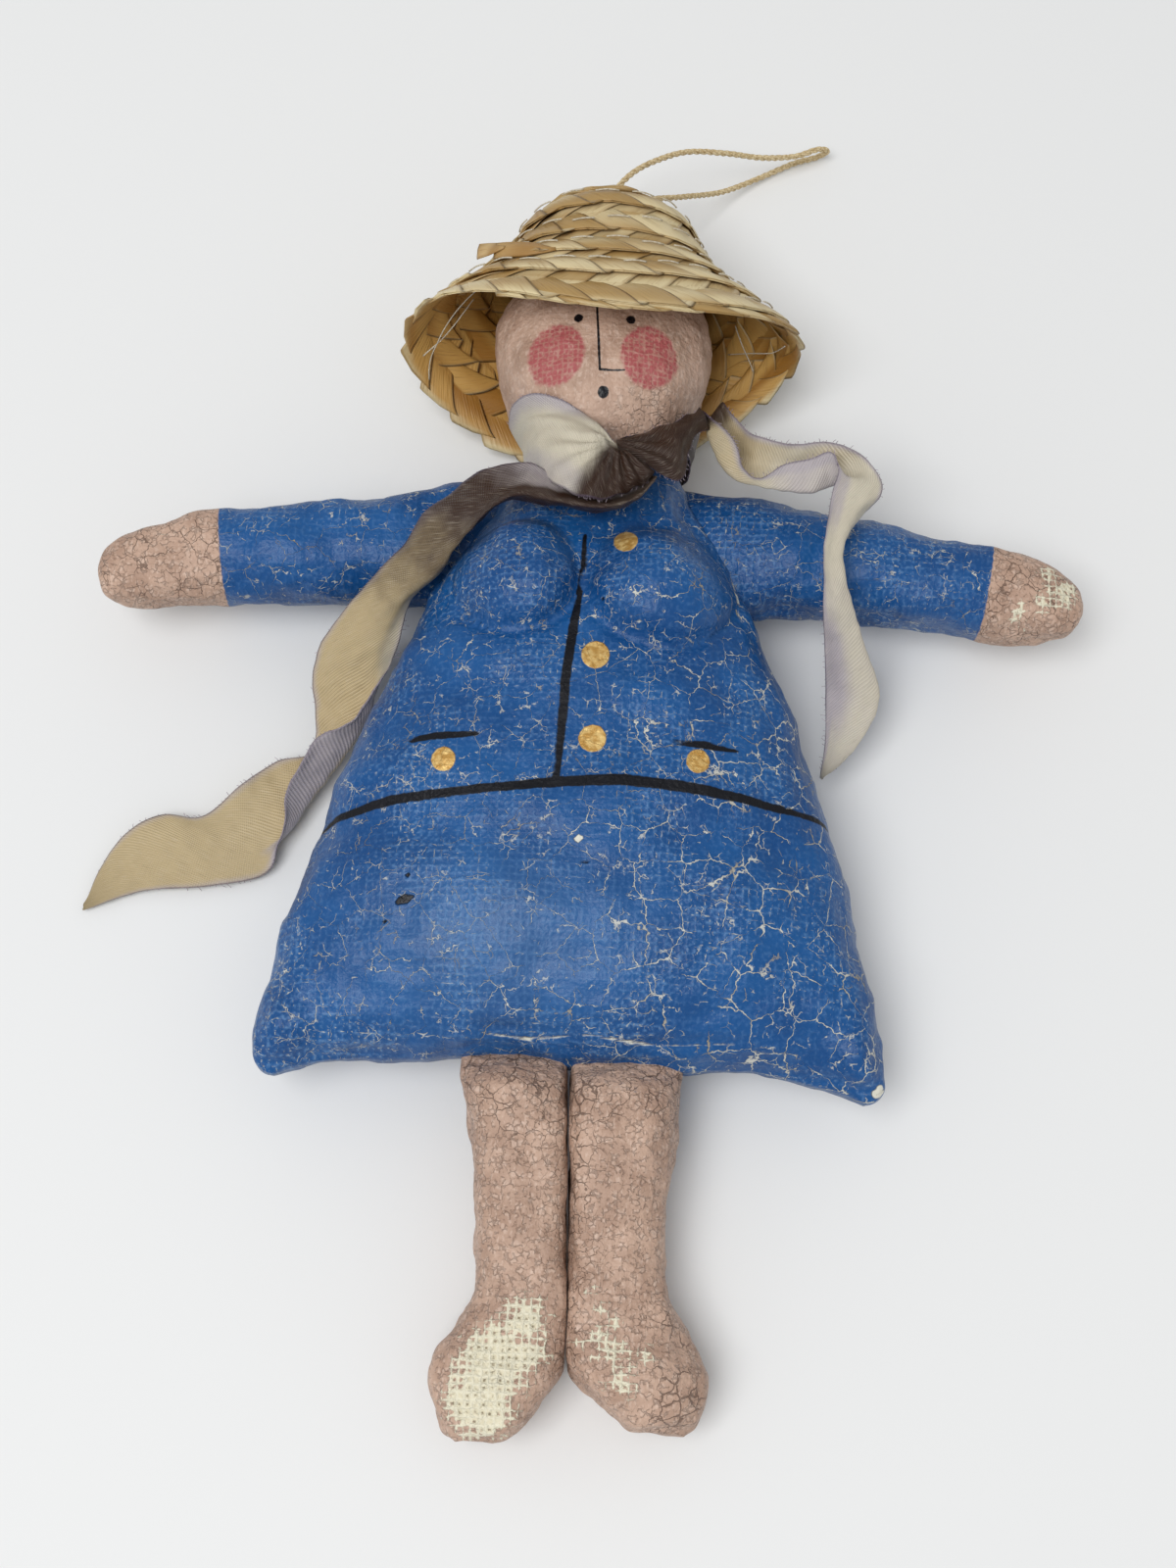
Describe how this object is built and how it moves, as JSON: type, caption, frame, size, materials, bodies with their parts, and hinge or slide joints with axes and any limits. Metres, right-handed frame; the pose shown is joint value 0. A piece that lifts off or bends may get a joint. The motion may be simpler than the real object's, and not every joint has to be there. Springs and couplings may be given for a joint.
{
  "type": "stuffed canvas doll ornament",
  "caption": "Stuffed painted canvas lady doll with a plaited straw hat, a knotted silk ribbon scarf and a twine hanging loop, sprung at the shoulders and hem.",
  "frame": {"origin": "middle of the flat on the body's back, where the doll lies", "axes": "+Z out of the doll's front, +Y towards its head, +X towards its own left hand"},
  "size_m": [0.1305, 0.1857, 0.0364],
  "materials": {
    "coat": "blue paint on canvas, crackled, satin",
    "skin": "pink-brown paint on canvas, crackled, matt",
    "straw": "plaited straw, matt",
    "silk": "bias-cut silk ribbon, soft sheen",
    "twine": "twisted twine, matt",
    "stuffing": "fibre stuffing",
    "glue": "hot-melt glue"
  },
  "bodies": {
    "torso": {"body_front": "coat", "body_back": "coat", "body_stuffing": "stuffing", "left_bust_pad": "coat", "right_bust_pad": "coat", "head_front": "skin", "head_back": "skin", "head_stuffing": "stuffing", "straw_hat": "straw", "hat_glue": "glue", "hanging_cord": "twine", "hanging_cord_knot": "twine", "scarf_neck_band": "silk", "scarf_knot": "silk", "scarf_long_tail": "silk"},
    "left_arm": {"left_arm_front": "coat", "left_arm_back": "coat", "left_arm_stuffing": "stuffing", "scarf_short_tail": "silk"},
    "right_arm": {"right_arm_front": "coat", "right_arm_back": "coat", "right_arm_stuffing": "stuffing"},
    "legs": {"left_leg_front": "skin", "left_leg_back": "skin", "left_leg_stuffing": "stuffing", "right_leg_front": "skin", "right_leg_back": "skin", "right_leg_stuffing": "stuffing"}
  },
  "joints": [
    {"name": "left_shoulder", "type": "hinge", "parent": "torso", "child": "left_arm", "pos_m": [0.01613, 0.0331, 0.012], "axis": [0.4611, -0.8873, 0], "range_deg": [-10, 12], "stiffness_Nm_per_rad": 0.08},
    {"name": "right_shoulder", "type": "hinge", "parent": "torso", "child": "right_arm", "pos_m": [-0.01613, 0.0331, 0.012], "axis": [0.4611, 0.8873, 0], "range_deg": [-10, 12], "stiffness_Nm_per_rad": 0.08},
    {"name": "legs_hem", "type": "hinge", "parent": "torso", "child": "legs", "pos_m": [0.0015, -0.0365, 0.012], "axis": [-1, 0, 0], "range_deg": [-15, 20], "stiffness_Nm_per_rad": 0.12}
  ]
}
